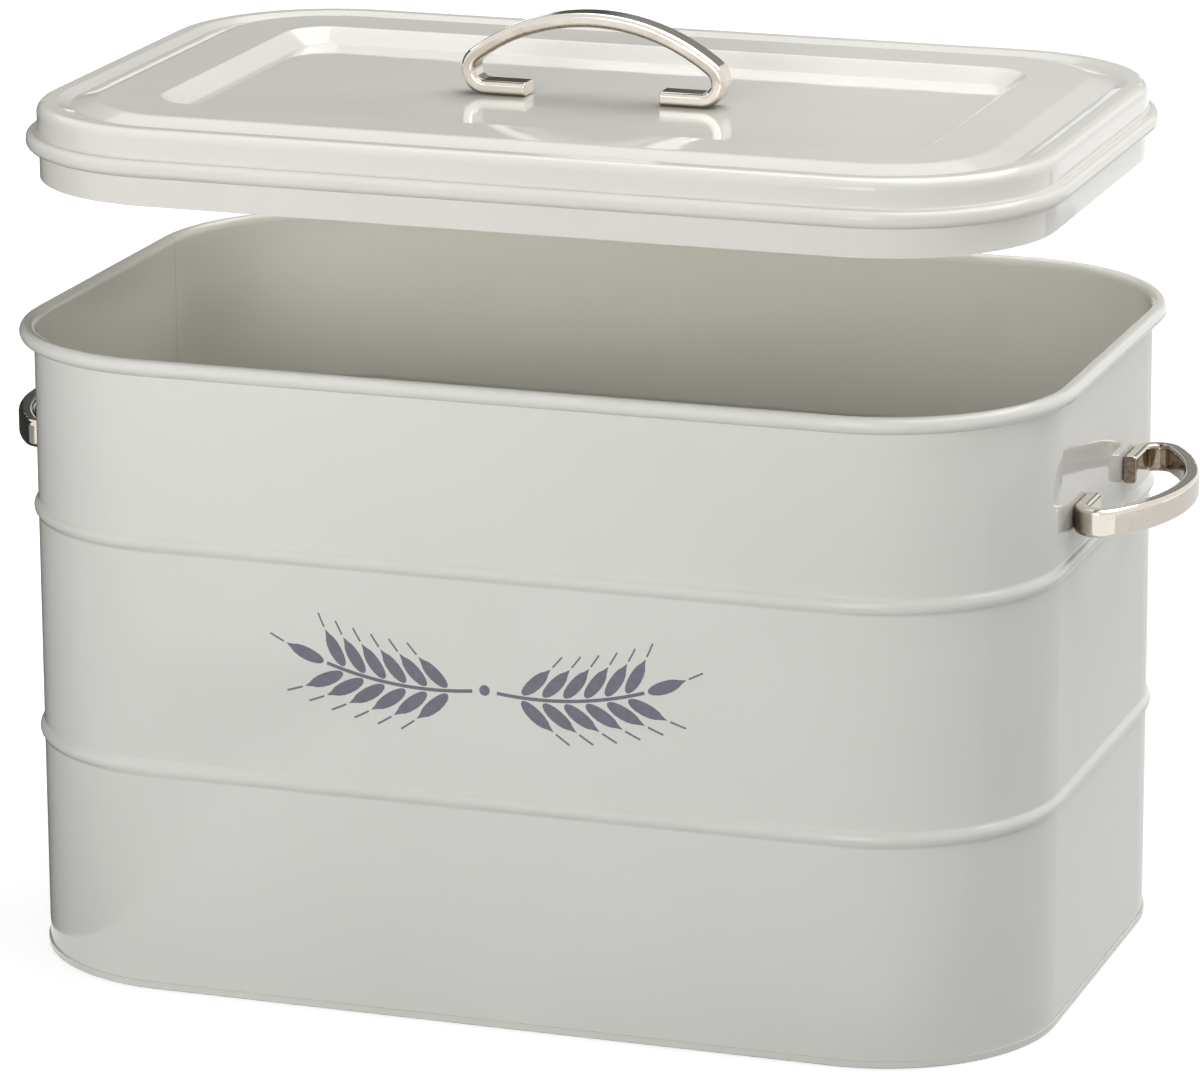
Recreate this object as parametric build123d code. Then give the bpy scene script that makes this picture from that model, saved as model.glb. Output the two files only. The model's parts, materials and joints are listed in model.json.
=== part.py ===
from build123d import *
import math
import os

# Bread bin of painted sheet steel with a lift-off lid and three bow handles of flat bar.
# Millimetres. The origin is on the table under the middle of the bin, X runs along the
# long side, the front faces -Y and Z is up. The lid is drawn lifted straight off its seat.

# Bin wall
bin_length = 330.0  # over the outside faces of the end walls
bin_depth = 211.8  # over the outside faces of the front and back
bin_height = 203.3  # table to the top of the rim
corner_radius = 54.9  # outside of the upright corners
wall_sheet = 0.7
rim_radius = 2.6  # outside of the rolled rim
rim_wrap = 300.0  # degrees that the rim is rolled round
rib_drop = 58.7  # top of the rim to the middle of the upper rib
rib_pitch = 72.4  # upper rib to lower rib
rib_width = 5.2
rib_peak = 2.2  # relief of the rib before its crest is rounded
rib_crest_radius = 2.75
rib_foot_radius = 1.4

# Base pan
base_sheet = 0.5
hem_height = 2.4  # outer leg of the hem, seen as a band round the foot
hem_gap = 0.1  # play between the hem and the wall that stands in it
hem_round = 0.8  # lower edge of the hem
floor_rise = 3.0  # underside of the floor above the table

# Lid
lid_sheet = 0.7
skirt_gap = 2.6  # skirt to the inside face of the wall
skirt_height = 9.3  # lower edge to the underside of the bead
bead_height = 5.3
bead_reach = 4.1  # how far the bead stands out from the skirt
bead_round = 2.3
bead_root = 0.8  # hollows under and over the bead
hood_step = 0.6  # upper wall of the lid stands out this far from the skirt
crest_height = 23.4  # lower edge of the skirt to the crest of the border
shoulder_radius = 3.2
border_width = 6.4  # outside of the lid to the inner edge of the crest
border_radius = 3.0  # inner edge of the crest
valley_fall = 1.2  # crest down to the valley inside the border
valley_slope = 4.3  # width of that fall
field_rise = 2.0  # valley up to the flat field of the top
field_slope = 8.5  # width of that rise
valley_radius = 1.0
field_radius = 8.0
panel_margin = 41.0  # bin's outside faces to the edge of the sunk panel
panel_depth = 4.5
panel_bevel = 5.8  # width of the slope round the sunk panel
panel_lap = 4.0  # flat of the panel carried round with its slope
ridge_radius = 1.2  # top and foot of the slope
seat_gap = 0.3  # bead over the rim when the lid is on
lid_raise = 56.7  # how far the lid is drawn above its seat

# Handles
handle_length = 86.6
handle_height = 27.9
handle_bend = 8.0  # outside of the two end bends
handle_foot = 13.3  # straight part of each in-turned foot
bar_width = 8.8
bar_thick = 4.6
bar_round = 1.5
bar_end_round = 0.5
handle_gap = 6.8  # upper rib to the lower edge of the side handles

# Handle screws, driven from inside into blind tapped holes in the feet
screw_radius = 1.95
thread_gap = 0.1
screw_grip = 3.0  # depth of thread in the foot
tap_spare = 0.4  # hole deeper than the screw
hole_radius = 2.3  # in the sheet
head_radius = 3.8
head_height = 2.2
head_round = 1.2
washer_radius = 4.5
washer_gap = 0.2  # washer's bore round the screw
washer_thick = 0.8

half_length = bin_length / 2
half_depth = bin_depth / 2
front_section = Plane(origin=(0, -half_depth, 0), x_dir=(0, -1, 0), z_dir=(-1, 0, 0))


def round_the_bin(section):
    """Carry a section, drawn as (outset from the wall's outside face, height), round the bin."""
    path = FilletPolyline(
        (0, -half_depth),
        (half_length, -half_depth),
        (half_length, half_depth),
        (0, half_depth),
        radius=corner_radius,
    )
    half = sweep(front_section * section, path=path)
    return half + mirror(half, about=Plane.YZ)


def plan(inset):
    """Outline of the bin in plan, drawn in from the wall's outside face."""
    return RectangleRounded(bin_length - 2 * inset, bin_depth - 2 * inset, corner_radius - inset)


def sheet(skin, thickness, side):
    """Section of bent sheet: its outside line and the parallel line one thickness away."""
    return make_face(offset(skin, amount=thickness, side=side))


# Wall: the outside line climbs past both ribs, and the top edge rolls outwards into the rim.
upper_rib = bin_height - rib_drop
lower_rib = upper_rib - rib_pitch
rim_middle = bin_height - rim_radius
rib_corners = [
    corner
    for middle in (lower_rib, upper_rib)
    for corner in ((0, middle - rib_width / 2), (rib_peak, middle), (0, middle + rib_width / 2))
]
rib_radii = [rib_foot_radius, rib_crest_radius, rib_foot_radius]
climb = FilletPolyline((0, base_sheet), *rib_corners, (0, rim_middle), radius=rib_radii * 2)
rim_centre = (rim_radius - wall_sheet, rim_middle)
rim_outside = CenterArc(rim_centre, rim_radius, 180, -rim_wrap)
rim_inside = CenterArc(rim_centre, rim_radius - wall_sheet, 180, -rim_wrap)
rim_ends = [Line(rim_outside @ end, rim_inside @ end) for end in (0, 1)]
rim_section = make_face([rim_outside, rim_inside, *rim_ends])
bin_wall = round_the_bin(sheet(climb, wall_sheet, Side.LEFT) + rim_section)

# Base: a hem that the wall stands in, and a floor held clear of the table.
hem_outside = hem_gap + base_sheet
floor_inset = wall_sheet + hem_gap
hem_section = Polygon(
    (-floor_inset - base_sheet, 0),
    (hem_outside, 0),
    (hem_outside, hem_height),
    (hem_gap, hem_height),
    (hem_gap, base_sheet),
    (-floor_inset, base_sheet),
    (-floor_inset, floor_rise + base_sheet),
    (-floor_inset - base_sheet, floor_rise + base_sheet),
    align=None,
)
hem_corner = hem_section.vertices().sort_by_distance((hem_outside, 0))[0]
hem_section = fillet(hem_corner, hem_round)
bin_floor = Pos(0, 0, floor_rise) * extrude(plan(floor_inset), base_sheet)
bin_base = round_the_bin(hem_section) + bin_floor

# Lid, drawn from the lower edge of its skirt. Everything from the skirt to the foot of the sunk
# panel is one bent section carried round, and the flat of the panel closes the middle.
skirt = -wall_sheet - skirt_gap
hood = skirt + hood_step
bead = skirt + bead_reach
bead_top = skirt_height + bead_height
border = hood - border_width
valley = border - valley_slope
valley_height = crest_height - valley_fall
field = valley - field_slope
field_height = valley_height + field_rise
ridge = -panel_margin
foot = ridge - panel_bevel
panel_edge = foot - panel_lap
panel_height = field_height - panel_depth
lid_skin = FilletPolyline(
    (skirt, 0),
    (skirt, skirt_height),
    (bead, skirt_height),
    (bead, bead_top),
    (hood, bead_top),
    (hood, crest_height),
    (border, crest_height),
    (valley, valley_height),
    (field, field_height),
    (ridge, field_height),
    (foot, panel_height),
    (panel_edge, panel_height),
    radius=[
        bead_root,
        bead_round,
        bead_round,
        bead_root,
        shoulder_radius,
        border_radius,
        valley_radius,
        field_radius,
        ridge_radius,
        ridge_radius,
    ],
)
lid_panel = Pos(0, 0, panel_height) * extrude(plan(-panel_edge), -lid_sheet)
lid_shell = round_the_bin(sheet(lid_skin, lid_sheet, Side.LEFT)) + lid_panel

# Handle bar, drawn with its feet on the XY plane along X: two straight feet that turn in towards
# each other, a tight bend at each end, and one long arch that runs tangent into both bends.
bend_x = handle_length / 2 - handle_bend
bend_radius = handle_bend - bar_thick / 2
crown = handle_height - bar_thick / 2
above_bend = crown - handle_bend
arch_radius = (bend_x**2 + above_bend**2 - bend_radius**2) / (2 * (above_bend - bend_radius))
arch_z = crown - arch_radius
arch_start = math.degrees(math.atan2(handle_bend - arch_z, bend_x))
foot_middle = bend_x - handle_foot / 2
foot_end = (bend_x - handle_foot, bar_thick / 2)
bar_path = Line(foot_end, (bend_x, bar_thick / 2))
bar_path += CenterArc((bend_x, handle_bend), bend_radius, -90, 90 + arch_start)
bar_path += CenterArc((0, arch_z), arch_radius, arch_start, 180 - 2 * arch_start)
bar_path += CenterArc((-bend_x, handle_bend), bend_radius, 180 - arch_start, 90 + arch_start)
bar_path += Line((-bend_x, bar_thick / 2), (-foot_end[0], foot_end[1]))
bar_section = Plane(
    origin=(foot_end[0], 0, foot_end[1]), x_dir=(0, 0, 1), z_dir=(1, 0, 0)
) * RectangleRounded(bar_thick, bar_width, bar_round)
bar = sweep(bar_section, path=Plane.XZ * bar_path)
end_faces = bar.faces().filter_by(Axis.X).filter_by_position(Axis.X, -foot_end[0], foot_end[0])
bar = fillet(end_faces.edges(), bar_end_round)
feet = [Pos(side * foot_middle, 0, 0) for side in (-1, 1)]
tap_depth = screw_grip + tap_spare
tapped_hole = Cylinder(screw_radius + thread_gap, tap_depth, align=(Align.CENTER, Align.CENTER, Align.MIN))
bar -= [foot * tapped_hole for foot in feet]


def screws_under(thickness):
    """The two screws of a handle whose feet stand on sheet of this thickness."""
    under = (Align.CENTER, Align.CENTER, Align.MAX)
    over = (Align.CENTER, Align.CENTER, Align.MIN)
    head = Cylinder(head_radius, head_height, align=under)
    head = fillet(head.edges().sort_by(Axis.Z)[0], head_round)
    shank = Cylinder(screw_radius, washer_thick + thickness + screw_grip, align=over)
    screw = Pos(0, 0, -thickness - washer_thick) * (head + shank)
    return [foot * screw for foot in feet]


def washers_under(thickness):
    """The washers between the sheet and the screw heads."""
    ring = Circle(washer_radius) - Circle(screw_radius + washer_gap)
    washer = Pos(0, 0, -thickness) * extrude(ring, -washer_thick)
    return [foot * washer for foot in feet]


def holes_through(thickness):
    """The holes that a handle's screws pass through."""
    drill = Cylinder(hole_radius, 2 * (thickness + washer_thick))
    return [foot * drill for foot in feet]


# Places: the lid stands clear above its seat, where the bead lies on the inside of the rim.
bead_corner = (bead - bead_round, skirt_height + bead_round)
seat_across = rim_centre[0] - bead_corner[0]
seat_rise = math.sqrt((rim_radius + bead_round + seat_gap) ** 2 - seat_across**2)
lid_seat = rim_middle + seat_rise - bead_corner[1]
lid_place = Pos(0, 0, lid_seat + lid_raise)
panel_place = lid_place * Pos(0, 0, panel_height)
handle_level = upper_rib + rib_width / 2 + handle_gap + bar_width / 2
right_place = Plane(origin=(half_length, 0, handle_level), x_dir=(0, 1, 0), z_dir=(1, 0, 0)).location
left_place = Plane(origin=(-half_length, 0, handle_level), x_dir=(0, -1, 0), z_dir=(-1, 0, 0)).location

wall_holes = holes_through(wall_sheet)
bin_wall -= [place * hole for place in (left_place, right_place) for hole in wall_holes]
lid_shell = lid_place * lid_shell - [panel_place * hole for hole in holes_through(lid_sheet)]

nodes = {
    "bin_wall": [bin_wall],
    "bin_base": [bin_base],
    "lid_shell": [lid_shell],
}
for name, place, thickness in (
    ("left_handle", left_place, wall_sheet),
    ("right_handle", right_place, wall_sheet),
    ("lid_handle", panel_place, lid_sheet),
):
    nodes[name] = [place * bar]
    nodes[name + "_screws"] = [place * screw for screw in screws_under(thickness)]
    nodes[name + "_washers"] = [place * washer for washer in washers_under(thickness)]

os.makedirs("parts", exist_ok=True)
for name, pieces in nodes.items():
    solids = [solid for piece in pieces for solid in piece.solids()]
    export_step(solids[0] if len(solids) == 1 else Compound(children=solids), f"parts/{name}.step")
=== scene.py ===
import json
import math

import bmesh
import bpy
from mathutils import Matrix, Vector


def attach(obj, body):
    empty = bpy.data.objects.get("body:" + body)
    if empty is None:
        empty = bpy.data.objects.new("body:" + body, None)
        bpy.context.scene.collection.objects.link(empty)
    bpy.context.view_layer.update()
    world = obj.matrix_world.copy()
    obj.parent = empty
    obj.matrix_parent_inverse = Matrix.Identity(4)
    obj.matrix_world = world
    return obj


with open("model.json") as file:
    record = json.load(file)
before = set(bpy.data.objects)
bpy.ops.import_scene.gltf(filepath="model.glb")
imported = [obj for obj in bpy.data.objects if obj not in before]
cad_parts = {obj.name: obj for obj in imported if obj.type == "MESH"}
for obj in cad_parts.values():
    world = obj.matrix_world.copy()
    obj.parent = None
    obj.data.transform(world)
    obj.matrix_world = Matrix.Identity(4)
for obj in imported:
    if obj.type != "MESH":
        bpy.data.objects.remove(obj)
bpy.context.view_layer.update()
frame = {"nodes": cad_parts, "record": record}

nodes = frame["nodes"]
MM = 0.001

# Colours, as linear values
BIN_ENAMEL = (0.642, 0.637, 0.604)
BIN_ENAMEL_THIN = (0.620, 0.614, 0.580)
# Painted light: a lighter, warmer copy of the bin enamel for the faces inside the bin, in place of the
# light the shaded inside lacks
BIN_INSIDE_PAINTED_LIGHT = (0.715, 0.700, 0.628)
BIN_INSIDE_PAINTED_LIGHT_THIN = (0.695, 0.678, 0.604)
SEAM_SHADE = (0.560, 0.547, 0.490)
LID_ENAMEL = (0.655, 0.641, 0.600)
LID_ENAMEL_THIN = (0.633, 0.618, 0.576)
NICKEL = (0.740, 0.692, 0.618)
NICKEL_DULL = (0.600, 0.545, 0.465)
# Painted shade: dark browns for the nickel where it faces the bin and on the ends of the handles' feet
NICKEL_PAINTED_SHADE = (0.330, 0.275, 0.215)
NICKEL_PAINTED_SHADE_SPOT = (0.170, 0.135, 0.100)
ZINC = (0.600, 0.595, 0.580)
ZINC_DULL = (0.430, 0.425, 0.410)
SLATE_INK = (0.120, 0.121, 0.152)
SLATE_INK_THIN = (0.140, 0.141, 0.172)

# Ranges that a value is stretched to: a share that rises from none to all, or falls from all to none
RISING = (0, 1)
FALLING = (1, 0)

# Bands of a noise that are stretched: most of its values, or the band of one kind of mark
MOST = (0.30, 0.70)
CLOUD_BAND = (0.35, 0.65)
SPECK_BAND = (0.56, 0.74)
SPOT_BAND = (0.45, 0.68)
PATCH_BAND = (0.40, 0.65)
MESH_MARK_BAND = (0.40, 0.70)

# Roughness and relief of the finishes
ENAMEL_ROUGHNESS = (0.035, 0.080)
NICKEL_ROUGHNESS = (0.05, 0.13)
ZINC_ROUGHNESS = (0.26, 0.42)
INK_ROUGHNESS = (0.30, 0.42)
ENAMEL_IOR = 1.5
WAVE_DEPTH = 0.09 * MM
PEEL_DEPTH = 0.02 * MM
RIPPLE_DEPTH = 0.05 * MM
SPECK_DEPTH = 0.006 * MM
PATCH_DEPTH = 0.01 * MM
MESH_MARK_DEPTH = 0.004 * MM

# Where the painted light inside the bin and the painted shade on the nickel change: the centres that faces
# look at, the axes that count and the edges of the change
BIN_AXIS = (0, 0, 0)
BIN_MIDDLE = (0, 0, 100 * MM)
LEVEL = (1, 1, 0)
EVERY_WAY = (1, 1, 1)
FRONT_TO_BACK = (0, 1, 0)
PAINTED_LIGHT_INSIDE_EDGE = (0, 20 * MM)
FACING_BIN_SHADE_EDGE = (-70 * MM, -20 * MM)
FOOT_END_SHADE_EDGE = (-18 * MM, -10 * MM)

# The upright joint of the wall sheet, where the left end turns into its back corner
SEAM_SIDE = -160.0 * MM
SEAM_PLACE = 50.6 * MM
SEAM_EDGE = (0.12 * MM, 0.40 * MM)


def add_node(tree, kind, **settings):
    """A shader node with its properties and plain input values set by name."""
    node = tree.nodes.new(kind)
    for name, value in settings.items():
        if name in node.inputs:
            node.inputs[name].default_value = value
        else:
            setattr(node, name, value)
    return node


def new_material(name):
    material = bpy.data.materials.new(name)
    material.use_nodes = True
    tree = material.node_tree
    return material, tree, tree.nodes["Principled BSDF"]


def noise_on(tree, place, scale, detail, roughness=0.5):
    """Noise with this many cells in a metre."""
    noise = add_node(tree, "ShaderNodeTexNoise", Scale=scale, Detail=detail, Roughness=roughness)
    tree.links.new(place, noise.inputs["Vector"])
    return noise.outputs["Fac"]


def stretch(tree, value, source, target):
    """A value moved from one range to another, and held at the ends of it."""
    node = add_node(tree, "ShaderNodeMapRange")
    tree.links.new(value, node.inputs["Value"])
    node.inputs["From Min"].default_value, node.inputs["From Max"].default_value = source
    node.inputs["To Min"].default_value, node.inputs["To Max"].default_value = target
    return node.outputs["Result"]


def two_tone(tree, share, first, second):
    ramp = add_node(tree, "ShaderNodeValToRGB")
    ramp.color_ramp.elements[0].color = (*first, 1)
    ramp.color_ramp.elements[1].color = (*second, 1)
    tree.links.new(share, ramp.inputs["Fac"])
    return ramp.outputs["Color"]


def plain_tone(tree, colour):
    tone = add_node(tree, "ShaderNodeRGB")
    tone.outputs["Color"].default_value = (*colour, 1)
    return tone.outputs["Color"]


def blend(tree, share, first, second):
    """The first colour where the share is 0, the second where it is 1."""
    mix = add_node(tree, "ShaderNodeMix", data_type="RGBA")
    tree.links.new(share, mix.inputs["Factor"])
    tree.links.new(first, mix.inputs["A"])
    tree.links.new(second, mix.inputs["B"])
    return mix.outputs["Result"]


def combine(tree, operation, first, second):
    """Two values put through one sum or comparison. The second may be a plain number."""
    node = add_node(tree, "ShaderNodeMath", operation=operation)
    tree.links.new(first, node.inputs[0])
    if isinstance(second, float):
        node.inputs[1].default_value = second
    else:
        tree.links.new(second, node.inputs[1])
    return node.outputs["Value"]


def axes_of(tree, place):
    parts = add_node(tree, "ShaderNodeSeparateXYZ")
    tree.links.new(place, parts.inputs["Vector"])
    return parts.outputs


def relief(tree, heights, shader):
    """Bumps laid over each other, each given as (height from 0 to 1, depth in metres)."""
    under = None
    for height, depth in heights:
        bump = add_node(tree, "ShaderNodeBump", Strength=1.0, Distance=depth)
        tree.links.new(height, bump.inputs["Height"])
        if under:
            tree.links.new(under, bump.inputs["Normal"])
        under = bump.outputs["Normal"]
    tree.links.new(under, shader.inputs["Normal"])


def facing_in(tree, coordinates, centre, axes, edge):
    """1 on faces that look towards a centre, 0 on those that look away, measured along the given axes."""
    from_centre = add_node(tree, "ShaderNodeVectorMath", operation="SUBTRACT")
    tree.links.new(coordinates.outputs["Object"], from_centre.inputs[0])
    from_centre.inputs[1].default_value = centre
    kept = add_node(tree, "ShaderNodeVectorMath", operation="MULTIPLY")
    tree.links.new(from_centre.outputs["Vector"], kept.inputs[0])
    kept.inputs[1].default_value = axes
    outwards = add_node(tree, "ShaderNodeVectorMath", operation="DOT_PRODUCT")
    tree.links.new(kept.outputs["Vector"], outwards.inputs[0])
    tree.links.new(coordinates.outputs["Normal"], outwards.inputs[1])
    return stretch(tree, outwards.outputs["Value"], edge, FALLING)


def wall_seam(tree, place):
    """1 along the joint of the wall sheet, 0 beside it."""
    axes = axes_of(tree, place)
    beside = combine(tree, "SUBTRACT", axes["Y"], SEAM_PLACE)
    away = add_node(tree, "ShaderNodeMath", operation="ABSOLUTE")
    tree.links.new(beside, away.inputs[0])
    line = stretch(tree, away.outputs["Value"], SEAM_EDGE, FALLING)
    left_end = combine(tree, "LESS_THAN", axes["X"], SEAM_SIDE)
    return combine(tree, "MULTIPLY", line, left_end)


def gloss_enamel(name, full, thin, painted_light_full=None, painted_light_thin=None):
    """Stoved gloss paint on sheet steel: a slight orange peel, and a coat a little thinner in places.
    Painted light: where painted-light colours are given, faces inside the bin get a lighter, warmer copy of
    the paint in place of the light the shaded inside lacks, and the joint of the wall sheet shows too."""
    material, tree, shader = new_material(name)
    coordinates = add_node(tree, "ShaderNodeTexCoord")
    place = coordinates.outputs["Object"]
    cloud = stretch(tree, noise_on(tree, place, scale=9.0, detail=3.0), CLOUD_BAND, RISING)
    colour = two_tone(tree, cloud, thin, full)
    if painted_light_full:
        # Painted light: faces that look in towards the bin's axis get the lighter, warmer copy of the paint
        painted_light_inside = facing_in(tree, coordinates, BIN_AXIS, LEVEL, PAINTED_LIGHT_INSIDE_EDGE)
        colour = blend(tree, painted_light_inside, colour, two_tone(tree, cloud, painted_light_thin, painted_light_full))
        colour = blend(tree, wall_seam(tree, place), colour, plain_tone(tree, SEAM_SHADE))
    tree.links.new(colour, shader.inputs["Base Color"])
    haze = noise_on(tree, place, scale=30.0, detail=4.0)
    tree.links.new(stretch(tree, haze, MOST, ENAMEL_ROUGHNESS), shader.inputs["Roughness"])
    wave = noise_on(tree, place, scale=48.0, detail=1.0)
    peel = noise_on(tree, place, scale=210.0, detail=1.5)
    relief(tree, [(wave, WAVE_DEPTH), (peel, PEEL_DEPTH)], shader)
    shader.inputs["IOR"].default_value = ENAMEL_IOR
    return material


def bright_nickel():
    """Tumbled nickel plate: warm and bright, finely scuffed. Painted shade: dark brown and spotted
    where it faces the bin and on the ends of the side handles' feet."""
    material, tree, shader = new_material("bright_nickel")
    coordinates = add_node(tree, "ShaderNodeTexCoord")
    place = coordinates.outputs["Object"]
    speck = noise_on(tree, place, scale=900.0, detail=6.0, roughness=0.7)
    plated = two_tone(tree, stretch(tree, speck, SPECK_BAND, RISING), NICKEL, NICKEL_DULL)
    spot = noise_on(tree, place, scale=700.0, detail=4.0, roughness=0.7)
    painted_shade = two_tone(tree, stretch(tree, spot, SPOT_BAND, RISING), NICKEL_PAINTED_SHADE, NICKEL_PAINTED_SHADE_SPOT)
    # Painted shade: dark brown on faces that look at the bin and on the ends of the feet
    facing_bin_shade = facing_in(tree, coordinates, BIN_MIDDLE, EVERY_WAY, FACING_BIN_SHADE_EDGE)
    foot_end_shade = facing_in(tree, coordinates, BIN_AXIS, FRONT_TO_BACK, FOOT_END_SHADE_EDGE)
    painted_shade_share = combine(tree, "MAXIMUM", facing_bin_shade, foot_end_shade)
    tree.links.new(blend(tree, painted_shade_share, plated, painted_shade), shader.inputs["Base Color"])
    scuff = noise_on(tree, place, scale=260.0, detail=5.0, roughness=0.65)
    tree.links.new(stretch(tree, scuff, MOST, NICKEL_ROUGHNESS), shader.inputs["Roughness"])
    ripple = noise_on(tree, place, scale=120.0, detail=2.0)
    relief(tree, [(ripple, RIPPLE_DEPTH), (speck, SPECK_DEPTH)], shader)
    shader.inputs["Metallic"].default_value = 1.0
    return material


def zinc_plate():
    """Plain zinc on the screws and washers, duller in patches."""
    material, tree, shader = new_material("zinc_plate")
    place = add_node(tree, "ShaderNodeTexCoord").outputs["Object"]
    patch = noise_on(tree, place, scale=420.0, detail=5.0, roughness=0.6)
    colour = two_tone(tree, stretch(tree, patch, PATCH_BAND, RISING), ZINC, ZINC_DULL)
    tree.links.new(colour, shader.inputs["Base Color"])
    tree.links.new(stretch(tree, patch, MOST, ZINC_ROUGHNESS), shader.inputs["Roughness"])
    relief(tree, [(patch, PATCH_DEPTH)], shader)
    shader.inputs["Metallic"].default_value = 1.0
    return material


def print_ink():
    """Screen-printed slate ink: matt beside the enamel, a little uneven."""
    material, tree, shader = new_material("slate_print_ink")
    place = add_node(tree, "ShaderNodeTexCoord").outputs["Object"]
    mesh_mark = noise_on(tree, place, scale=600.0, detail=3.0)
    colour = two_tone(tree, stretch(tree, mesh_mark, MESH_MARK_BAND, RISING), SLATE_INK, SLATE_INK_THIN)
    tree.links.new(colour, shader.inputs["Base Color"])
    tree.links.new(stretch(tree, mesh_mark, MOST, INK_ROUGHNESS), shader.inputs["Roughness"])
    relief(tree, [(mesh_mark, MESH_MARK_DEPTH)], shader)
    return material


finishes = {
    "bin_paint": gloss_enamel(
        "bin_gloss_enamel", BIN_ENAMEL, BIN_ENAMEL_THIN, BIN_INSIDE_PAINTED_LIGHT, BIN_INSIDE_PAINTED_LIGHT_THIN
    ),
    "lid_paint": gloss_enamel("lid_gloss_enamel", LID_ENAMEL, LID_ENAMEL_THIN),
    "handle_plate": bright_nickel(),
    "screw_steel": zinc_plate(),
}
for piece in frame["record"]["subparts"]:
    mesh = nodes[piece["node"]].data
    mesh.materials.clear()
    mesh.materials.append(finishes[piece["material_slot"]])


def add_object(name, shape, material):
    """An object at the origin with this shape as its mesh."""
    mesh = bpy.data.meshes.new(name)
    shape.to_mesh(mesh)
    shape.free()
    mesh.materials.append(material)
    piece = bpy.data.objects.new(name, mesh)
    bpy.context.scene.collection.objects.link(piece)
    return piece


# Two ears of wheat printed on the middle band of the front, one each side of a dot
FRONT_FACE = -105.9 * MM
INK_THICK = 0.05 * MM
PRINT_HEIGHT = 108.0 * MM
EAR_START = 12.0 * MM
GRAIN_PITCH = 6.8 * MM
GRAIN_PAIRS = 6
GRAIN_LENGTH = 11.5 * MM
GRAIN_WIDTH = 4.1 * MM
GRAIN_TIP = 0.30  # how far the tip is drawn out, as a share of half the grain
GRAIN_SIDES = 16
GRAIN_LEAN = math.radians(42)
GRAIN_CLEAR = 1.1 * MM
AWN_GAP = 0.07  # bare length between the tip and the awn, as a share of the grain
AWN_LENGTH = 5.0 * MM
AWN_WIDTH = 0.6 * MM
AWN_STEPS = 3
STALK_START = 4.0 * MM
STALK_WIDTH = 1.1 * MM
STALK_STEPS = 24
EAR_BEND = 110.0 * MM
EAR_TILT = math.radians(9)
DOT_RADIUS = 1.7 * MM
DOT_SIDES = 24


def lay_strip(ink, placing, start, end, width, steps):
    """A straight strip of ink along the Y axis of its placing."""
    middle = Matrix.Translation((0, (start + end) / 2, 0))
    size = Matrix.Diagonal((width / 2, (end - start) / 2, 1, 1))
    bmesh.ops.create_grid(ink, x_segments=1, y_segments=steps, size=1, matrix=placing @ middle @ size)


def lay_grain(ink, base, lean):
    """A pointed grain whose lower end is at base, with an awn in line with it, a little beyond its tip."""
    turn = Matrix.Translation(base) @ Matrix.Rotation(lean, 4, "Z")
    half = GRAIN_LENGTH / 2
    oval = Matrix.Translation((0, half, 0)) @ Matrix.Diagonal((GRAIN_WIDTH / 2, half, 1, 1))
    grain = bmesh.ops.create_circle(
        ink, cap_ends=True, segments=GRAIN_SIDES, radius=1, matrix=turn @ oval
    )
    tip = grain["verts"][0]
    bmesh.ops.translate(ink, verts=[tip], vec=turn.to_3x3() @ Vector((0, GRAIN_TIP * half, 0)))
    awn_start = GRAIN_LENGTH * (1 + AWN_GAP) + GRAIN_TIP * half
    lay_strip(ink, turn, awn_start, awn_start + AWN_LENGTH, AWN_WIDTH, AWN_STEPS)


def lay_ear(ink):
    """An upright ear: pairs of grains on a stalk, and one grain at its end."""
    for pair in range(GRAIN_PAIRS):
        along = EAR_START + pair * GRAIN_PITCH
        for side in (-1, 1):
            lay_grain(ink, Vector((side * GRAIN_CLEAR, along, 0)), -side * GRAIN_LEAN)
    ear_end = EAR_START + GRAIN_PAIRS * GRAIN_PITCH
    lay_grain(ink, Vector((0, ear_end, 0)), 0)
    lay_strip(ink, Matrix.Identity(4), STALK_START, ear_end - GRAIN_CLEAR, STALK_WIDTH, STALK_STEPS)


def wheat_print():
    ink = bmesh.new()
    lay_ear(ink)
    for vert in ink.verts:
        turn = vert.co.y / EAR_BEND
        out = EAR_BEND + vert.co.x
        vert.co = Vector((out * math.cos(turn) - EAR_BEND, out * math.sin(turn), 0))
    lie_down = Matrix.Rotation(-math.pi / 2 - EAR_TILT, 3, "Z")
    bmesh.ops.rotate(ink, verts=ink.verts, cent=(0, 0, 0), matrix=lie_down)
    bmesh.ops.mirror(ink, geom=ink.verts[:] + ink.edges[:] + ink.faces[:], axis="X", merge_dist=-1)
    bmesh.ops.create_circle(ink, cap_ends=True, segments=DOT_SIDES, radius=DOT_RADIUS)
    coat = bmesh.ops.extrude_face_region(ink, geom=ink.faces[:])
    coat_top = [part for part in coat["geom"] if isinstance(part, bmesh.types.BMVert)]
    bmesh.ops.translate(ink, verts=coat_top, vec=(0, 0, INK_THICK))
    bmesh.ops.recalc_face_normals(ink, faces=ink.faces)
    stand_up = Matrix.Rotation(math.pi / 2, 3, "X")
    bmesh.ops.rotate(ink, verts=ink.verts, cent=(0, 0, 0), matrix=stand_up)
    bmesh.ops.translate(ink, verts=ink.verts, vec=(0, FRONT_FACE, PRINT_HEIGHT))
    piece = add_object("wheat_print", ink, print_ink())
    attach(piece, "bin")


wheat_print()


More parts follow.
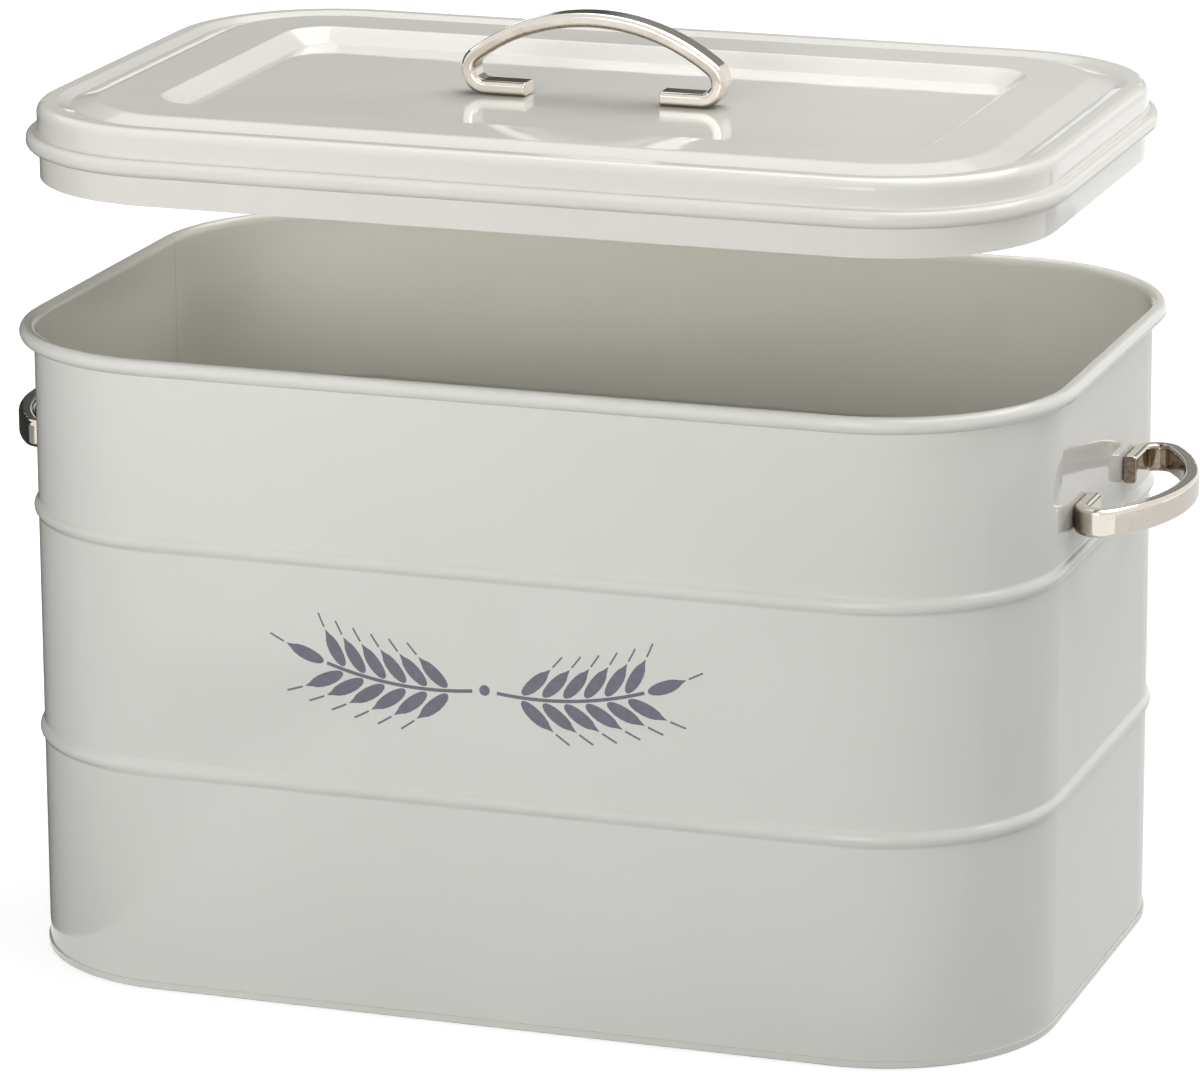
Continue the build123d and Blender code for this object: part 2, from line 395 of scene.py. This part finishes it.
# Studio, in metres: a white floor, soft lamps all round, and grey cards for the gloss to mirror
FLOOR_RADIUS = 30.0
FLOOR_SIDES = 96
FLOOR_DROP = 0.3 * MM
FLOOR_GLOW = 0.75  # near the bin, where the light of the lamps is added to it
FAR_GLOW = 1.0
GLOW_CHANGE = (0.8, 2.5)
FLOOR_SHADE = 0.42
FLOOR_BOUNCE = 0.35
ROOM_FILL = 0.20
WHITE = (1, 1, 1, 1)
DARK_GREY = 0.04
BACK_GREY = 0.09
BACK_RIGHT_GREY = 0.30
BACK_CHANGE = (-0.49, -0.36)
MID_GREY = 0.35
PALE_GREY = 0.80
UPRIGHT = math.pi / 2
FLAT = 0.0
ACROSS = 0.0
ENDWAYS = math.pi / 2
CARD_LIFT = 1.0 * MM

# The photograph's camera: metres, radians, and millimetres for the lens and sensor
CAMERA_PLACE = (0.639429, -1.853318, 0.673643)
CAMERA_TURN = 0.331890
CAMERA_DIP = 0.271194
CAMERA_ROLL = -0.004576
CAMERA_LENS = 192.591
CAMERA_SENSOR = 36.0
CAMERA_REACH = 100.0


def grey(level):
    return (level, level, level, 1)


def seen_directly(tree):
    """1 for camera, mirror and glass rays, 0 for the light that surfaces scatter."""
    rays = add_node(tree, "ShaderNodeLightPath").outputs
    seen = combine(tree, "MAXIMUM", rays["Is Camera Ray"], rays["Is Glossy Ray"])
    return combine(tree, "MAXIMUM", seen, rays["Is Transmission Ray"])


def mix_shaders(tree, scattered, direct, output):
    """One shader for scattered light, and another for what is seen directly."""
    mix = add_node(tree, "ShaderNodeMixShader")
    tree.links.new(seen_directly(tree), mix.inputs["Fac"])
    tree.links.new(scattered, mix.inputs[1])
    tree.links.new(direct, mix.inputs[2])
    tree.links.new(mix.outputs["Shader"], tree.nodes[output].inputs["Surface"])


def stage_piece(name, shape, material):
    piece = add_object(name, shape, material)
    return piece


def white_floor():
    material, tree, shader = new_material("studio_white")
    tree.nodes.remove(shader)
    paper = add_node(tree, "ShaderNodeBsdfDiffuse", Color=grey(FLOOR_BOUNCE))
    shade = add_node(tree, "ShaderNodeBsdfDiffuse", Color=grey(FLOOR_SHADE))
    glow = add_node(tree, "ShaderNodeEmission", Color=WHITE)
    distance = add_node(tree, "ShaderNodeVectorMath", operation="LENGTH")
    tree.links.new(add_node(tree, "ShaderNodeTexCoord").outputs["Object"], distance.inputs[0])
    strength = stretch(tree, distance.outputs["Value"], GLOW_CHANGE, (FLOOR_GLOW, FAR_GLOW))
    tree.links.new(strength, glow.inputs["Strength"])
    seen = add_node(tree, "ShaderNodeAddShader")
    tree.links.new(shade.outputs["BSDF"], seen.inputs[0])
    tree.links.new(glow.outputs["Emission"], seen.inputs[1])
    mix_shaders(tree, paper.outputs["BSDF"], seen.outputs["Shader"], "Material Output")
    ground = bmesh.new()
    bmesh.ops.create_circle(ground, cap_ends=True, segments=FLOOR_SIDES, radius=FLOOR_RADIUS)
    bmesh.ops.translate(ground, verts=ground.verts, vec=(0, 0, -FLOOR_DROP))
    stage_piece("studio_floor", ground, material)


def grey_card(name, middle, tilt, turn, width, height, level, right_level=None):
    """A card that only the gloss sees, so that it has something darker than the white room to mirror.
    It may change to another grey on its right."""
    material, tree, shader = new_material(name + "_face")
    tree.nodes.remove(shader)
    face = add_node(tree, "ShaderNodeEmission", Color=WHITE, Strength=level)
    if right_level:
        axes = axes_of(tree, add_node(tree, "ShaderNodeTexCoord").outputs["Object"])
        strength = stretch(tree, axes["X"], BACK_CHANGE, (level, right_level))
        tree.links.new(strength, face.inputs["Strength"])
    tree.links.new(face.outputs["Emission"], tree.nodes["Material Output"].inputs["Surface"])
    card = bmesh.new()
    place = Matrix.Translation(middle) @ Matrix.Rotation(turn, 4, "Z") @ Matrix.Rotation(tilt, 4, "X")
    size = Matrix.Diagonal((width, height, 1, 1))
    bmesh.ops.create_grid(card, x_segments=1, y_segments=1, size=0.5, matrix=place @ size)
    piece = stage_piece(name, card, material)
    piece.visible_camera = False
    piece.visible_diffuse = False
    piece.visible_shadow = False


def studio_world():
    world = bpy.data.worlds.new("studio")
    bpy.context.scene.world = world
    world.use_nodes = True
    tree = world.node_tree
    fill = tree.nodes["Background"]
    fill.inputs["Color"].default_value = grey(ROOM_FILL)
    white = add_node(tree, "ShaderNodeBackground", Color=WHITE, Strength=1.0)
    mix_shaders(tree, fill.outputs["Background"], white.outputs["Background"], "World Output")


def softbox(name, place, aim, width, height, power, beam=180, mirrored=True):
    """A soft lamp with a beam of so many degrees, which the gloss may or may not mirror."""
    lamp = bpy.data.lights.new(name, "AREA")
    lamp.shape = "RECTANGLE"
    lamp.size = width
    lamp.size_y = height
    lamp.energy = power
    lamp.spread = math.radians(beam)
    holder = bpy.data.objects.new(name, lamp)
    holder.location = place
    holder.rotation_euler = (Vector(aim) - Vector(place)).to_track_quat("-Z", "Y").to_euler()
    holder.visible_glossy = mirrored
    bpy.context.scene.collection.objects.link(holder)


def photo_camera():
    camera = bpy.data.cameras.new("photo_camera")
    camera.lens = CAMERA_LENS
    camera.sensor_width = CAMERA_SENSOR
    camera.clip_end = CAMERA_REACH
    holder = bpy.data.objects.new("photo_camera", camera)
    holder.matrix_world = (
        Matrix.Translation(CAMERA_PLACE)
        @ Matrix.Rotation(CAMERA_TURN, 4, "Z")
        @ Matrix.Rotation(math.pi / 2 - CAMERA_DIP, 4, "X")
        @ Matrix.Rotation(CAMERA_ROLL, 4, "Z")
    )
    bpy.context.scene.collection.objects.link(holder)
    bpy.context.scene.camera = holder


white_floor()
studio_world()

FRONT_AIM = (-0.42, 0, 0.42)
softbox(
    "front_softbox", place=(-0.45, -1.90, 0.70), aim=FRONT_AIM,
    width=1.6, height=1.1, power=4.0, beam=40, mirrored=False,
)
softbox(
    "front_glint", place=(-0.45, -1.78, 0.68), aim=FRONT_AIM,
    width=1.6, height=1.1, power=1.3, beam=40,
)
softbox(
    "top_softbox", place=(0.40, 0.45, 1.80), aim=(0, 0, 0.25),
    width=2.2, height=1.6, power=34.0,
)
softbox(
    "right_softbox", place=(1.30, 1.30, 0.55), aim=(0, 0, 0.15),
    width=1.4, height=1.0, power=19.0, mirrored=False,
)
# Shines through the gap under the raised lid
softbox(
    "inside_softbox", place=(1.52, -0.38, 0.485), aim=(-0.160, 0.075, 0.165),
    width=0.34, height=0.05, power=0.011, beam=5, mirrored=False,
)
softbox(
    "left_softbox", place=(-1.80, -0.20, 0.80), aim=(0, 0, 0.12),
    width=1.0, height=1.0, power=3.0,
)

grey_card(
    "back_card", middle=(-0.60, 1.5, 0.805), tilt=UPRIGHT, turn=ACROSS,
    width=2.0, height=0.89, level=BACK_GREY, right_level=BACK_RIGHT_GREY,
)
grey_card(
    "left_card", middle=(-0.85, 0.45, 0.35), tilt=UPRIGHT, turn=ENDWAYS,
    width=1.5, height=0.7, level=DARK_GREY,
)
grey_card(
    "left_floor_card", middle=(-0.72, 0.45, CARD_LIFT), tilt=FLAT, turn=ACROSS,
    width=1.1, height=1.2, level=DARK_GREY,
)
grey_card(
    "left_near_card", middle=(-0.72, -0.30, CARD_LIFT), tilt=FLAT, turn=ACROSS,
    width=1.1, height=0.3, level=MID_GREY,
)
grey_card(
    "right_floor_card", middle=(0.45, 0.45, CARD_LIFT), tilt=FLAT, turn=ACROSS,
    width=0.7, height=1.2, level=PALE_GREY,
)
photo_camera()
bpy.context.scene.view_settings.view_transform = "Standard"
